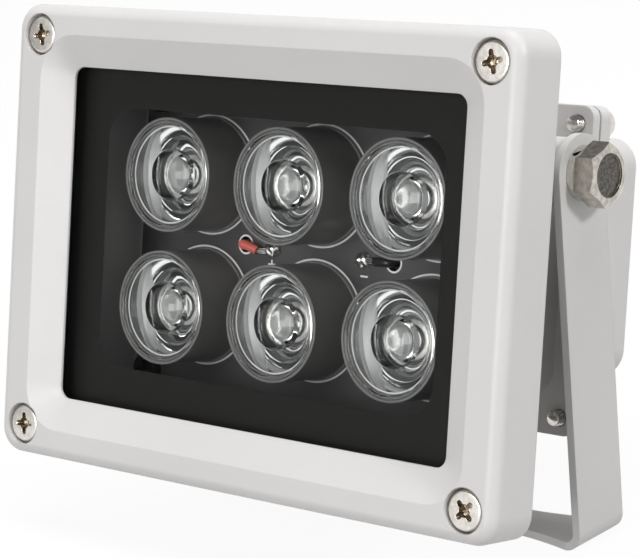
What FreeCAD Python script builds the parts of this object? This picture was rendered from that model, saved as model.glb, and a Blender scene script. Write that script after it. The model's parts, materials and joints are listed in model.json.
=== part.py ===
"""Infrared illuminator: a six-lens lamp head in a cast housing, tilting in a U bracket.

The bracket stands on z = 0 with its base centred on the origin, and the lamp faces -Y.
The head's own pieces are drawn in a head frame: x to the right, y up and z out of the
front, with z = 0 on the bezel's front face. "Depth" is counted back from that face.
"""
import FreeCAD, Part

import math
import os
import re

import Sketcher
from FreeCAD import Placement, Rotation, Vector

# Driving dimensions, in millimetres and degrees.
SIZES = {
    # front frame
    "bezel_width": 117.0,
    "bezel_height": 85.0,
    "bezel_depth": 10.8,
    "bezel_corner": 4.8,
    "bezel_wall": 2.0,
    "bezel_edge": 2.2,
    "face_side": 12.8,
    "face_end": 11.3,
    "opening_corner": 2.2,
    "bevel_run": 5.8,
    "bevel_depth": 3.3,
    "lip_land": 0.5,
    # glass and its gasket
    "glass_overlap": 2.8,
    "glass_thickness": 3.0,
    "glass_corner": 2.0,
    "glass_gap": 0.3,
    "gasket_width": 2.6,
    "gasket_thickness": 1.2,
    # screws of the front frame
    "bezel_screw_side": 6.3,
    "bezel_screw_end": 5.7,
    "bezel_screw_size": 4.0,
    "bezel_screw_length": 10.0,
    "bezel_head_width": 7.2,
    "bezel_head_height": 2.3,
    "bezel_recess_width": 7.8,
    "bezel_recess_depth": 2.7,
    # housing
    "rim_gap": 0.25,
    "rim_thickness": 2.6,
    "rim_boss_width": 6.8,
    "rim_boss_reach": 2.4,
    "rim_corner": 2.6,
    "cavity_margin": 0.6,
    "cavity_corner": 4.0,
    "pan_wall": 2.2,
    "pan_edge": 2.0,
    "floor_thickness": 2.5,
    "neck_inset": 8.35,
    "neck_corner": 5.5,
    "neck_wall": 2.4,
    "flange_front": 44.3,
    "flange_thickness": 2.1,
    "flange_side": 5.15,
    "flange_end": 6.25,
    "flange_corner": 2.2,
    "post_width": 6.4,
    "post_reach": 3.5,
    # rear cover
    "cover_gasket_thickness": 0.5,
    "cover_gasket_inset": 0.6,
    "cover_gasket_width": 5.0,
    "cover_flange_thickness": 3.4,
    "cover_edge": 0.6,
    "box_side": 13.1,
    "box_end": 6.1,
    "box_depth": 31.2,
    "box_corner": 6.0,
    "box_wall": 2.4,
    "box_draft": 1.0,
    "box_edge": 1.6,
    "cover_screw_inset": 3.25,
    "cover_screw_length": 8.0,
    # M3 screws
    "small_screw_size": 3.0,
    "small_head_width": 5.6,
    "small_head_height": 2.2,
    "thread_gap": 0.05,
    "screw_hole_gap": 0.2,
    # light board
    "board_front": 22.1,
    "board_gap": 2.0,
    "board_thickness": 1.6,
    "board_corner": 1.5,
    "board_screw_inset": 3.8,
    "board_screw_length": 6.0,
    "wire_hole_x": 17.6,
    "wire_hole_width": 3.0,
    "pad_x": 10.8,
    "pad_gap": 0.05,
    "wire_dip": 1.2,
    "wire_width": 1.5,
    "wire_end_x": 13.0,
    "wire_end_y": 4.0,
    # emitters, lenses and their cups
    "lens_pitch_x": 27.1,
    "lens_pitch_y": 24.7,
    "lens_front": 9.7,
    "lens_width": 20.0,
    "lens_rim_width": 0.8,
    "lens_rim_height": 1.4,
    "lens_rim_step": 0.35,
    "lens_height": 10.2,
    "lens_foot_width": 8.8,
    "lens_curve": 15.0,
    "lens_well_width": 9.8,
    "lens_well_depth": 3.6,
    "lens_bulge_rise": 1.9,
    "lens_recess_width": 6.4,
    "lens_recess_depth": 5.0,
    "lens_recess_sag": 0.8,
    "cup_width": 21.2,
    "cup_foot_width": 21.9,
    "cup_foot_height": 0.8,
    "cup_bore": 18.6,
    "cup_floor_thickness": 1.2,
    "cup_floor_hole": 9.4,
    "lens_gap": 0.08,
    "led_width": 7.6,
    "led_base_height": 1.9,
    "led_dome_width": 5.4,
    "led_dome_height": 3.2,
    "led_lead_span": 14.4,
    "led_lead_width": 1.6,
    "led_lead_height": 0.4,
    "led_lead_gap": 0.25,
    # driver
    "driver_gap": 4.0,
    "driver_thickness": 1.6,
    "driver_post_inset": 3.5,
    "driver_post_height": 15.0,
    "driver_post_width": 6.0,
    "driver_screw_length": 6.0,
    "inductor_width": 10.0,
    "inductor_height": 7.0,
    "inductor_x": 8.0,
    "capacitor_width": 8.0,
    "capacitor_height": 12.0,
    "capacitor_x": -6.0,
    "chip_width": 5.0,
    "chip_height": 1.6,
    "chip_y": -9.0,
    # cable gland
    "gland_thread_width": 12.0,
    "gland_bore": 6.0,
    "gland_hex": 15.0,
    "gland_hex_height": 3.5,
    "gland_inner_length": 8.0,
    "gland_neck_width": 10.0,
    "gland_neck_length": 5.0,
    "gland_nut_hex": 14.0,
    "gland_nut_length": 8.5,
    "gland_seal_width": 8.4,
    "gland_locknut_hex": 16.0,
    "gland_locknut_height": 3.0,
    # bracket and its bolts
    "bracket_width": 13.8,
    "bracket_thickness": 1.5,
    "bracket_clearance": 3.4,
    "bracket_bend": 1.8,
    "waist_start": 8.0,
    "waist_depth": 2.8,
    "pivot_height": 67.9,
    "pivot_depth": 34.6,
    "pivot_rise": 18.3,
    "pivot_boss_width": 12.0,
    "pivot_side_gap": 0.1,
    "pivot_fit_gap": 0.07,
    "pivot_bolt_size": 6.0,
    "pivot_bolt_length": 12.0,
    "pivot_hole_depth": 9.6,
    "bolt_hex": 10.0,
    "bolt_head_height": 4.0,
    "bolt_dish_width": 7.8,
    "bolt_dish_depth": 0.4,
    "bolt_face_share": 0.95,
    "washer_width": 9.8,
    "washer_bore": 6.2,
    "washer_thickness": 1.6,
    "washer_split": 1.0,
    "washer_split_turn": 46.0,
    "base_hole_pitch": 50.0,
    "base_hole_width": 4.5,
    "base_centre_hole_width": 6.5,
    "tilt": 12.0,
}

# Places and sizes that follow from the driving ones.
DERIVED = {
    "opening_width": "bezel_width - 2 * face_side",
    "opening_height": "bezel_height - 2 * face_end",
    "glass_width": "opening_width + 2 * glass_overlap",
    "glass_height": "opening_height + 2 * glass_overlap",
    "bezel_screw_x": "bezel_width / 2 - bezel_screw_side",
    "bezel_screw_y": "bezel_height / 2 - bezel_screw_end",
    "cavity_width": "opening_width + 2 * cavity_margin",
    "cavity_height": "opening_height + 2 * cavity_margin",
    "board_width": "cavity_width - 2 * board_gap",
    "board_height": "cavity_height - 2 * board_gap",
    "board_screw_x": "board_width / 2 - board_screw_inset",
    "board_screw_y": "board_height / 2 - board_screw_inset",
    "neck_width": "cavity_width - 2 * neck_inset",
    "neck_height": "cavity_height - 2 * neck_inset",
    "flange_width": "neck_width + 2 * flange_side",
    "flange_height": "neck_height + 2 * flange_end",
    "cover_screw_x": "flange_width / 2 - cover_screw_inset",
    "cover_screw_y": "flange_height / 2 - cover_screw_inset",
    "box_width": "flange_width - 2 * box_side",
    "box_height": "flange_height - 2 * box_end",
    "driver_width": "box_width - 2 * box_wall - 2 * driver_gap",
    "driver_height": "box_height - 2 * box_wall - 2 * driver_gap",
    "driver_post_x": "driver_width / 2 - driver_post_inset",
    "driver_post_y": "driver_height / 2 - driver_post_inset",
    "bracket_span": "flange_width + 2 * bracket_clearance",
    "glass_front": "bevel_depth + lip_land",
    "glass_back": "glass_front + glass_thickness",
    "rim_front": "glass_back + gasket_thickness",
    "rim_width": "bezel_width - 2 * bezel_wall - 2 * rim_gap",
    "rim_height": "bezel_height - 2 * bezel_wall - 2 * rim_gap",
    "pan_width": "cavity_width + 2 * pan_wall",
    "pan_height": "cavity_height + 2 * pan_wall",
    "pan_corner": "cavity_corner + pan_wall",
    "floor_front": "board_front + board_thickness",
    "floor_back": "floor_front + floor_thickness",
    "flange_back": "flange_front + flange_thickness",
    "cover_front": "flange_back + cover_gasket_thickness",
    "cover_seat": "cover_front + cover_flange_thickness",
    "box_back": "cover_seat + box_depth",
    "box_floor": "box_back - box_wall",
    "driver_back": "box_floor - driver_post_height",
    "driver_front": "driver_back - driver_thickness",
    "cup_height": "board_front - lens_front",
    "boss_reach": "bracket_span / 2 - pivot_side_gap",
    "arm_outer": "bracket_span / 2 + bracket_thickness",
}

NAME = re.compile(r"[a-z][a-z0-9_]*")

doc = FreeCAD.newDocument("InfraredIlluminator")
sheet = doc.addObject("Spreadsheet::Sheet", "Sizes")
for row, (alias, millimetres) in enumerate(SIZES.items(), start=1):
    sheet.set(f"A{row}", alias)
    sheet.set(f"B{row}", str(millimetres))
    sheet.setAlias(f"B{row}", alias)
doc.recompute()


def formula(text):
    """The text with every size spelled as its cell in the sheet."""
    def spell(match):
        word = match.group()
        if word in DERIVED:
            return "(" + formula(DERIVED[word]) + ")"
        return "Sizes." + word if word in SIZES else word
    return NAME.sub(spell, str(text))


def size(text):
    """The number that a formula gives now."""
    value = sheet.evalExpression(formula(text))
    return float(getattr(value, "Value", value))


def bind(thing, prop, text):
    thing.setExpression(prop, formula(text))


# Sketching

def new_body(label):
    body = doc.addObject("PartDesign::Body", label)
    body.Label = label
    return body


def new_sketch(body, plane="XY_Plane", offset="0"):
    """A sketch on one of the body's origin planes, moved along that plane's normal."""
    sketch = body.newObject("Sketcher::SketchObject", body.Name + "_sketch")
    origin = next(f for f in body.Origin.OriginFeatures if f.Role == plane)
    sketch.AttachmentSupport = [(origin, "")]
    sketch.MapMode = "FlatFace"
    bind(sketch, ".AttachmentOffset.Base.z", offset)
    return sketch


def at_depth(body, depth):
    """A sketch parallel to the lamp's face, at a depth behind it."""
    return new_sketch(body, "XY_Plane", f"-({depth})")


def dimension(sketch, kind, refs, text):
    """A named constraint whose value follows a formula."""
    index = sketch.addConstraint(Sketcher.Constraint(kind, *refs, size(text)))
    name = f"size_{index}"
    sketch.renameConstraint(index, name)
    bind(sketch, "Constraints." + name, text)


def locate(sketch, geometry, point, x, y):
    """Fixes one point of a sketch at (x, y)."""
    for text, kind, axis in ((x, "DistanceX", -2), (y, "DistanceY", -1)):
        if str(text) == "0":
            sketch.addConstraint(Sketcher.Constraint("PointOnObject", geometry, point, axis))
        elif size(text) >= 0:
            dimension(sketch, kind, (-1, 1, geometry, point), text)
        else:
            dimension(sketch, kind, (geometry, point, -1, 1), f"-({text})")


def circle(sketch, width, x="0", y="0"):
    centre = Vector(size(x), size(y), 0)
    index = sketch.addGeometry(Part.Circle(centre, Vector(0, 0, 1), size(width) / 2))
    dimension(sketch, "Diameter", (index,), width)
    locate(sketch, index, 3, x, y)


def four_circles(sketch, width, x, y):
    """One circle in each quarter, as for the four corner screws."""
    for across in (x, f"-({x})"):
        for up in (y, f"-({y})"):
            circle(sketch, width, across, up)


def arc_about(start, end, radius, turn):
    """The arc from start to end, counter-clockwise for turn = 1, clockwise for -1."""
    chord = end - start
    middle = (start + end) * 0.5
    reach = math.sqrt(max(radius ** 2 - (chord.Length / 2) ** 2, 0.0))
    left = Vector(-chord.y, chord.x, 0).normalize()
    centre = middle + left * reach * turn
    first, last = (start, end) if turn > 0 else (end, start)
    angles = [math.atan2(p.y - centre.y, p.x - centre.x) for p in (first, last)]
    return Part.ArcOfCircle(Part.Circle(centre, Vector(0, 0, 1), radius), *angles)


def cap_radius(reach, rise):
    """The radius of a dome that reaches so far from its axis and rises so much."""
    return f"(({reach}) ^ 2 + ({rise}) ^ 2) / (2 * ({rise}))"


def outline(sketch, corners):
    """A closed outline. Each corner is (x, y), or (x, y, radius, turn) where the edge that
    leaves it is an arc."""
    spots = [Vector(size(c[0]), size(c[1]), 0) for c in corners]
    edges = []
    for corner, start, end in zip(corners, spots, spots[1:] + spots[:1]):
        if len(corner) == 2:
            index = sketch.addGeometry(Part.LineSegment(start, end))
            edges.append((index, 1, 2))
        else:
            radius, turn = corner[2:]
            index = sketch.addGeometry(arc_about(start, end, size(radius), turn))
            dimension(sketch, "Radius", (index,), radius)
            edges.append((index, 1, 2) if turn > 0 else (index, 2, 1))
    for corner, here, before in zip(corners, edges, edges[-1:] + edges[:-1]):
        sketch.addConstraint(Sketcher.Constraint("Coincident", before[0], before[2], here[0], here[1]))
        locate(sketch, here[0], here[1], corner[0], corner[1])


def rectangle(sketch, width, height):
    """A sharp rectangle about the origin."""
    x, y = f"({width}) / 2", f"({height}) / 2"
    outline(sketch, ((x, y), (f"-{x}", y), (f"-{x}", f"-{y}"), (x, f"-{y}")))


def rounded_rectangle(sketch, width, height, radius):
    """A rectangle about the origin with rounded corners."""
    x, y, r = size(width) / 2, size(height) / 2, size(radius)
    centres = ((x - r, y - r), (r - x, y - r), (r - x, r - y), (x - r, r - y))
    arcs = []
    for quarter, (cx, cy) in enumerate(centres):
        start = quarter * math.pi / 2
        round_ = Part.Circle(Vector(cx, cy, 0), Vector(0, 0, 1), r)
        arcs.append(sketch.addGeometry(Part.ArcOfCircle(round_, start, start + math.pi / 2)))
    ends = ((x - r, y), (-x, y - r), (r - x, -y), (x, r - y))
    starts = ((r - x, y), (-x, r - y), (x - r, -y), (x, y - r))
    lines = [sketch.addGeometry(Part.LineSegment(Vector(*a, 0), Vector(*b, 0)))
             for a, b in zip(ends, starts)]
    for i in range(4):
        sketch.addConstraint(Sketcher.Constraint("Tangent", arcs[i], 2, lines[i], 1))
        sketch.addConstraint(Sketcher.Constraint("Tangent", lines[i], 2, arcs[(i + 1) % 4], 1))
        sketch.addConstraint(Sketcher.Constraint("Vertical" if i % 2 else "Horizontal", lines[i]))
        if i:
            sketch.addConstraint(Sketcher.Constraint("Equal", arcs[0], arcs[i]))
    top, left, bottom, right = lines
    sketch.addConstraint(Sketcher.Constraint("Symmetric", left, 1, right, 1, -1, 1))
    dimension(sketch, "Radius", (arcs[0],), radius)
    dimension(sketch, "DistanceX", (left, 1, right, 1), width)
    dimension(sketch, "DistanceY", (bottom, 1, top, 1), height)


def hexagon(sketch, across_flats):
    """A regular hexagon about the origin with two of its flats upright."""
    side, half = f"({across_flats}) / sqrt(3)", f"({across_flats}) / 2"
    outline(sketch, (
        (half, f"({side}) / 2"), ("0", side), (f"-{half}", f"({side}) / 2"),
        (f"-{half}", f"-({side}) / 2"), ("0", f"-({side})"), (half, f"-({side}) / 2")))


# Features

def pad(body, sketch, length, back=True, draft=None):
    """Adds material behind the sketch, or in front of it with back=False."""
    feature = body.newObject("PartDesign::Pad", body.Name + "_pad")
    feature.Profile = sketch
    feature.Reversed = back
    bind(feature, "Length", length)
    if draft is not None:
        bind(feature, "TaperAngle", draft)
    doc.recompute()
    return feature


def pocket(body, sketch, depth=None, back=True, draft=None, both=False):
    """Cuts behind the sketch, or in front of it with back=False; no depth cuts all the way."""
    feature = body.newObject("PartDesign::Pocket", body.Name + "_pocket")
    feature.Profile = sketch
    feature.Reversed = not back
    if depth is None:
        feature.Type = "ThroughAll"
        feature.Midplane = both
    else:
        bind(feature, "Length", depth)
    if draft is not None:
        bind(feature, "TaperAngle", draft)
    doc.recompute()
    return feature


def turned(body, corners, cut=False):
    """A form turned about the body's z axis from (radius, z) corners."""
    sketch = new_sketch(body, "XZ_Plane")
    outline(sketch, corners)
    kind = "PartDesign::Groove" if cut else "PartDesign::Revolution"
    feature = body.newObject(kind, body.Name + "_turn")
    feature.Profile = sketch
    feature.ReferenceAxis = (sketch, ["V_Axis"])
    feature.Angle = 360
    doc.recompute()
    return feature


def round_edges(body, radius, wanted):
    """Rounds the edges of the body's tip that the test picks."""
    tip = body.Tip
    names = [f"Edge{i}" for i, edge in enumerate(tip.Shape.Edges, start=1) if wanted(edge)]
    feature = body.newObject("PartDesign::Fillet", body.Name + "_round")
    feature.Base = (tip, names)
    bind(feature, "Radius", radius)
    doc.recompute()
    return feature


def lies_at(edge, depth):
    """True for an edge that lies wholly at a depth behind the lamp's face."""
    box = edge.BoundBox
    return abs(box.ZMin + depth) < 1e-4 and abs(box.ZMax + depth) < 1e-4


# Placing

def head_placement():
    """From the head frame to the bracket's: stood up, then tilted about the pivot."""
    pivot = Vector(0, 0, size("pivot_height"))
    tilted = Rotation(Vector(1, 0, 0), 90 - size("tilt"))
    local_pivot = Vector(0, size("pivot_rise"), -size("pivot_depth"))
    return Placement(pivot - tilted.multVec(local_pivot), tilted)


def in_head(x="0", up="0", depth="0", turn=None):
    """Placement of a piece whose own origin lies at this spot of the head."""
    spot = Vector(size(x), size(up), -size(depth))
    return head_placement() * Placement(spot, turn or Rotation())


ABOUT_FACE = Rotation(Vector(0, 1, 0), 180)
CORNERS = ((1, 1), (-1, 1), (-1, -1), (1, -1))


# Front frame, glass and gasket

def make_bezel():
    body = new_body("front_bezel")
    sketch = at_depth(body, "0")
    rounded_rectangle(sketch, "bezel_width", "bezel_height", "bezel_corner")
    pad(body, sketch, "bezel_depth")
    round_edges(body, "bezel_edge", lambda e: lies_at(e, 0))
    sketch = at_depth(body, "0")
    rounded_rectangle(sketch, "opening_width + 2 * bevel_run", "opening_height + 2 * bevel_run",
                      "opening_corner + bevel_run")
    pocket(body, sketch, "bevel_depth", draft="-atan(bevel_run / bevel_depth)")
    sketch = at_depth(body, "0")
    rounded_rectangle(sketch, "opening_width", "opening_height", "opening_corner")
    pocket(body, sketch)
    sketch = at_depth(body, "glass_front")
    rounded_rectangle(sketch, "glass_width + 2 * glass_gap", "glass_height + 2 * glass_gap",
                      "glass_corner + glass_gap")
    pocket(body, sketch)
    sketch = at_depth(body, "glass_back")
    rounded_rectangle(sketch, "bezel_width - 2 * bezel_wall", "bezel_height - 2 * bezel_wall",
                      "bezel_corner - bezel_wall")
    pocket(body, sketch)
    sketch = at_depth(body, "0")
    four_circles(sketch, "bezel_recess_width", "bezel_screw_x", "bezel_screw_y")
    pocket(body, sketch, "bezel_recess_depth")
    sketch = at_depth(body, "0")
    four_circles(sketch, "bezel_screw_size + 2 * screw_hole_gap", "bezel_screw_x", "bezel_screw_y")
    pocket(body, sketch, "rim_front")
    body.Placement = in_head()
    return body


def make_glass():
    body = new_body("front_glass")
    sketch = at_depth(body, "glass_front")
    rounded_rectangle(sketch, "glass_width", "glass_height", "glass_corner")
    pad(body, sketch, "glass_thickness")
    body.Placement = in_head()
    return body


def make_ring(label, depth, thickness, width, height, corner, breadth):
    """A flat gasket: a rounded frame of one breadth all round."""
    body = new_body(label)
    sketch = at_depth(body, depth)
    rounded_rectangle(sketch, width, height, corner)
    pad(body, sketch, thickness)
    sketch = at_depth(body, depth)
    rounded_rectangle(sketch, f"{width} - 2 * ({breadth})", f"{height} - 2 * ({breadth})",
                      f"{corner} / 2")
    pocket(body, sketch)
    body.Placement = in_head()
    return body


def make_cover_gasket():
    """The ring between the housing's flange and the rear cover, with its four screw holes."""
    body = make_ring("cover_gasket", "flange_back", "cover_gasket_thickness",
                     "(flange_width - 2 * cover_gasket_inset)",
                     "(flange_height - 2 * cover_gasket_inset)", "flange_corner",
                     "cover_gasket_width")
    sketch = at_depth(body, "flange_back")
    four_circles(sketch, "small_screw_size + 2 * screw_hole_gap", "cover_screw_x", "cover_screw_y")
    pocket(body, sketch)
    return body


# Screws

def cross_recess(sketch, span, slot):
    """The cross of a screw head, two slots over each other."""
    far, near = f"({span}) / 2", f"({slot}) / 2"
    quarter = ((far, near), (near, near), (near, far))
    points = []
    for x_sign, y_sign, order in ((1, 1, 1), (-1, 1, -1), (-1, -1, 1), (1, -1, -1)):
        for x, y in quarter[::order]:
            points.append((x if x_sign > 0 else f"-{x}", y if y_sign > 0 else f"-{y}"))
    outline(sketch, points)


def screw_shape(label, head_width, head_height, screw_size, length):
    """A pan head screw along -z, its head standing on z = 0."""
    body = new_body(label)
    rim = f"({head_height}) * 0.74"
    shank = f"({screw_size}) / 2"
    turned(body, (
        ("0", head_height), (f"({head_width}) * 0.44", head_height),
        (f"({head_width}) / 2", rim), (f"({head_width}) / 2", "0"), (shank, "0"),
        (shank, f"0.3 - ({length})"), (f"{shank} - 0.3", f"-({length})"), ("0", f"-({length})")))
    sketch = new_sketch(body, "XY_Plane", head_height)
    cross_recess(sketch, f"({head_width}) * 0.58", f"({head_width}) * 0.14")
    pocket(body, sketch, f"({head_height}) * 0.6", draft="-10")
    return body.Shape.copy(), body


def make_screws(label, head_width, head_height, screw_size, length, x, y, depth, turn=None):
    """Four equal screws in one node, one at each corner."""
    shape, pattern = screw_shape(label + "_pattern", head_width, head_height, screw_size, length)
    copies = []
    for x_sign, y_sign in CORNERS:
        one = shape.copy()
        spot = Vector(x_sign * size(x), y_sign * size(y), -size(depth))
        one.Placement = Placement(spot, turn or Rotation())
        copies.append(one)
    group = doc.addObject("Part::Feature", label)
    group.Label = label
    group.Shape = Part.makeCompound(copies)
    group.Placement = in_head()
    return group


# Housing

def make_housing():
    body = new_body("housing")
    sketch = at_depth(body, "rim_front")
    rounded_rectangle(sketch, "rim_width", "rim_height", "rim_corner")
    pad(body, sketch, "rim_thickness")
    sketch = at_depth(body, "rim_front")
    four_circles(sketch, "rim_boss_width", "bezel_screw_x", "bezel_screw_y")
    pad(body, sketch, "rim_thickness + rim_boss_reach")
    sketch = at_depth(body, "rim_front")
    rounded_rectangle(sketch, "pan_width", "pan_height", "pan_corner")
    pad(body, sketch, "floor_back - rim_front")
    pan_edge = size("floor_back")
    round_edges(body, "pan_edge", lambda e: lies_at(e, pan_edge))
    sketch = at_depth(body, "floor_front")
    rounded_rectangle(sketch, "neck_width", "neck_height", "neck_corner")
    pad(body, sketch, "flange_back - floor_front")
    sketch = at_depth(body, "flange_front")
    rounded_rectangle(sketch, "flange_width", "flange_height", "flange_corner")
    pad(body, sketch, "flange_thickness")
    for side, back in (("boss_reach", True), ("-boss_reach", False)):
        sketch = new_sketch(body, "YZ_Plane", side)
        circle(sketch, "pivot_boss_width", "pivot_rise", "-pivot_depth")
        pad(body, sketch, "boss_reach - neck_width / 2 + neck_corner", back=back)
    sketch = at_depth(body, "floor_front")
    four_circles(sketch, "post_width", "board_screw_x", "board_screw_y")
    pad(body, sketch, "floor_thickness + post_reach")

    sketch = at_depth(body, "rim_front")
    rounded_rectangle(sketch, "cavity_width", "cavity_height", "cavity_corner")
    pocket(body, sketch, "floor_front - rim_front")
    sketch = at_depth(body, "floor_back")
    rounded_rectangle(sketch, "neck_width - 2 * neck_wall", "neck_height - 2 * neck_wall",
                      "neck_corner - neck_wall")
    pocket(body, sketch)
    sketch = at_depth(body, "rim_front")
    four_circles(sketch, "bezel_screw_size + 2 * thread_gap", "bezel_screw_x", "bezel_screw_y")
    pocket(body, sketch, "rim_thickness + rim_boss_reach")
    sketch = at_depth(body, "floor_front")
    four_circles(sketch, "small_screw_size + 2 * thread_gap", "board_screw_x", "board_screw_y")
    pocket(body, sketch, "floor_thickness + post_reach - 1")
    sketch = at_depth(body, "floor_front")
    circle(sketch, "wire_hole_width + 1", "wire_hole_x")
    circle(sketch, "wire_hole_width + 1", "-wire_hole_x")
    pocket(body, sketch, "floor_thickness")
    sketch = at_depth(body, "flange_front")
    four_circles(sketch, "small_screw_size + 2 * thread_gap", "cover_screw_x", "cover_screw_y")
    pocket(body, sketch, "flange_thickness")
    for side, back in (("boss_reach", True), ("-boss_reach", False)):
        sketch = new_sketch(body, "YZ_Plane", side)
        circle(sketch, "pivot_bolt_size + 2 * thread_gap", "pivot_rise", "-pivot_depth")
        pocket(body, sketch, "pivot_hole_depth", back=back)
    body.Placement = in_head()
    return body


# Rear cover

def make_cover():
    body = new_body("rear_cover")
    sketch = at_depth(body, "cover_front")
    rounded_rectangle(sketch, "flange_width", "flange_height", "flange_corner")
    pad(body, sketch, "cover_flange_thickness")
    seat = size("cover_seat")
    round_edges(body, "cover_edge", lambda e: lies_at(e, seat))
    sketch = at_depth(body, "cover_front")
    rounded_rectangle(sketch, "box_width", "box_height", "box_corner")
    pad(body, sketch, "box_back - cover_front", draft="-box_draft")
    back = size("box_back")
    round_edges(body, "box_edge", lambda e: lies_at(e, back))
    sketch = at_depth(body, "cover_front")
    rounded_rectangle(sketch, "box_width - 2 * box_wall", "box_height - 2 * box_wall",
                      "box_corner - box_wall")
    pocket(body, sketch, "box_floor - cover_front", draft="-box_draft")
    sketch = at_depth(body, "driver_back")
    four_circles(sketch, "driver_post_width", "driver_post_x", "driver_post_y")
    pad(body, sketch, "driver_post_height + box_wall / 2")
    sketch = at_depth(body, "driver_back")
    four_circles(sketch, "small_screw_size + 2 * thread_gap", "driver_post_x", "driver_post_y")
    pocket(body, sketch, "driver_screw_length")
    sketch = at_depth(body, "box_floor - 1")
    circle(sketch, "gland_thread_width + 2 * screw_hole_gap")
    pocket(body, sketch)
    sketch = at_depth(body, "cover_front")
    four_circles(sketch, "small_screw_size + 2 * screw_hole_gap", "cover_screw_x", "cover_screw_y")
    pocket(body, sketch)
    body.Placement = in_head()
    return body


# Light board, emitters, lenses and their cups

def make_board():
    body = new_body("led_board")
    sketch = at_depth(body, "board_front")
    rounded_rectangle(sketch, "board_width", "board_height", "board_corner")
    pad(body, sketch, "board_thickness")
    sketch = at_depth(body, "board_front")
    four_circles(sketch, "small_screw_size + 2 * screw_hole_gap", "board_screw_x", "board_screw_y")
    circle(sketch, "wire_hole_width", "wire_hole_x")
    circle(sketch, "wire_hole_width", "-wire_hole_x")
    pocket(body, sketch)
    body.Placement = in_head()
    return body


def make_led(label, x, up):
    """An emitter that stands on z = 0: round base, clear dome and two leads."""
    body = new_body(label)
    dome = "led_dome_width / 2"
    turned(body, (
        ("0", "led_base_height + led_dome_height", dome, -1),
        (dome, "led_base_height + led_dome_height - led_dome_width / 2"),
        (dome, "led_base_height"), ("led_width / 2", "led_base_height"),
        ("led_width / 2", "0"), ("0", "0")))
    sketch = new_sketch(body, "XY_Plane", "led_lead_gap")
    rectangle(sketch, "led_lead_span", "led_lead_width")
    pad(body, sketch, "led_lead_height", back=False)
    body.Placement = in_head(x, up, "board_front")
    return body


def make_lens(label, x, up):
    """A collimating lens with its rim on z = 0: curved flank, front well and rear recess."""
    body = new_body(label)
    rim, step = "lens_width / 2", "-lens_rim_step"
    well, foot = "lens_well_width / 2", "lens_foot_width / 2"
    recess = "lens_recess_width / 2"
    turned(body, (
        ("0", "lens_bulge_rise - lens_well_depth", cap_radius(well, "lens_bulge_rise"), -1),
        (well, "-lens_well_depth"), (well, step),
        (f"{rim} - lens_rim_width", step), (f"{rim} - lens_rim_width", "0"), (rim, "0"),
        (rim, "-lens_rim_height"), (f"{rim} - lens_rim_width", "-lens_rim_height",
                                    "lens_curve", -1),
        (foot, "-lens_height"), (recess, "-lens_height"),
        (recess, "lens_recess_depth - lens_height", cap_radius(recess, "lens_recess_sag"), -1),
        ("0", "lens_recess_depth - lens_recess_sag - lens_height")))
    body.Placement = in_head(x, up, "lens_front")
    return body


def make_cup(label, x, up):
    """A lens holder that stands on z = 0, with a seat for the lens and slots for the leads."""
    body = new_body(label)
    bore, wall, foot = "cup_bore / 2", "cup_width / 2", "cup_foot_width / 2"
    seat = "lens_width / 2 + lens_gap"
    turned(body, (
        ("cup_floor_hole / 2", "0"), (foot, "0"), (foot, "cup_foot_height"),
        (wall, "cup_foot_height"), (wall, "cup_height"), (seat, "cup_height"),
        (seat, "cup_height - lens_rim_height"), (bore, "cup_height - lens_rim_height"),
        (bore, "cup_floor_thickness"), ("cup_floor_hole / 2", "cup_floor_thickness")))
    sketch = new_sketch(body)
    rectangle(sketch, "led_lead_span + 4 * screw_hole_gap", "led_lead_width + 4 * screw_hole_gap")
    pocket(body, sketch, "cup_floor_thickness", back=False)
    body.Placement = in_head(x, up, "board_front")
    return body


def wire_path(points):
    """Straight runs through the points, joined by tangent arcs as large as the runs allow."""
    edges, here = [], points[0]
    for before, corner, after in zip(points, points[1:], points[2:]):
        come, leave = (corner - before).normalize(), (after - corner).normalize()
        cut = 0.45 * min(before.distanceToPoint(corner), corner.distanceToPoint(after))
        start, end = corner - come * cut, corner + leave * cut
        half_turn = come.getAngle(leave) / 2
        toward = (leave - come).normalize()
        middle = corner + toward * cut * (1 - math.cos(half_turn)) / math.sin(half_turn)
        edges += [Part.LineSegment(here, start).toShape(),
                  Part.Arc(start, middle, end).toShape()]
        here = end
    edges.append(Part.LineSegment(here, points[-1]).toShape())
    return Part.Wire(edges)


def make_wire(label, side):
    """A lead from its pad on the light board, back through the floor to the driver."""
    pad_spot, hole = f"{side} * pad_x", f"{side} * wire_hole_x"
    above = "(board_front - wire_width / 2 - pad_gap)"
    stops = ((pad_spot, "0", above), (hole, "0", f"{above} - wire_dip"),
             (hole, "0", "(floor_back + driver_front) / 2"),
             (f"{side} * wire_end_x", "wire_end_y", "driver_front - 0.3 * wire_width"))
    points = [Vector(size(x), size(up), -size(depth)) for x, up, depth in stops]
    path = wire_path(points)
    start = points[1] - points[0]
    section = Part.Face(Part.Wire(Part.makeCircle(size("wire_width") / 2, points[0], start)))
    lead = doc.addObject("Part::Feature", label)
    lead.Label = label
    lead.Shape = path.makePipe(section)
    lead.Placement = in_head()
    return lead


# Driver

def make_driver():
    body = new_body("driver_board")
    sketch = at_depth(body, "driver_front")
    rectangle(sketch, "driver_width", "driver_height")
    pad(body, sketch, "driver_thickness")
    sketch = at_depth(body, "driver_front")
    four_circles(sketch, "small_screw_size + 2 * screw_hole_gap", "driver_post_x", "driver_post_y")
    pocket(body, sketch)
    body.Placement = in_head()
    return body


def make_round_component(label, width, height, x):
    """A wound or canned component that stands on the driver board."""
    body = new_body(label)
    edge = "0.6"
    turned(body, (
        ("0", height), (f"{width} / 2 - {edge}", height), (f"{width} / 2", f"{height} - {edge}"),
        (f"{width} / 2", "0"), ("0", "0")))
    body.Placement = in_head(x, "0", "driver_front")
    return body


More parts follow.
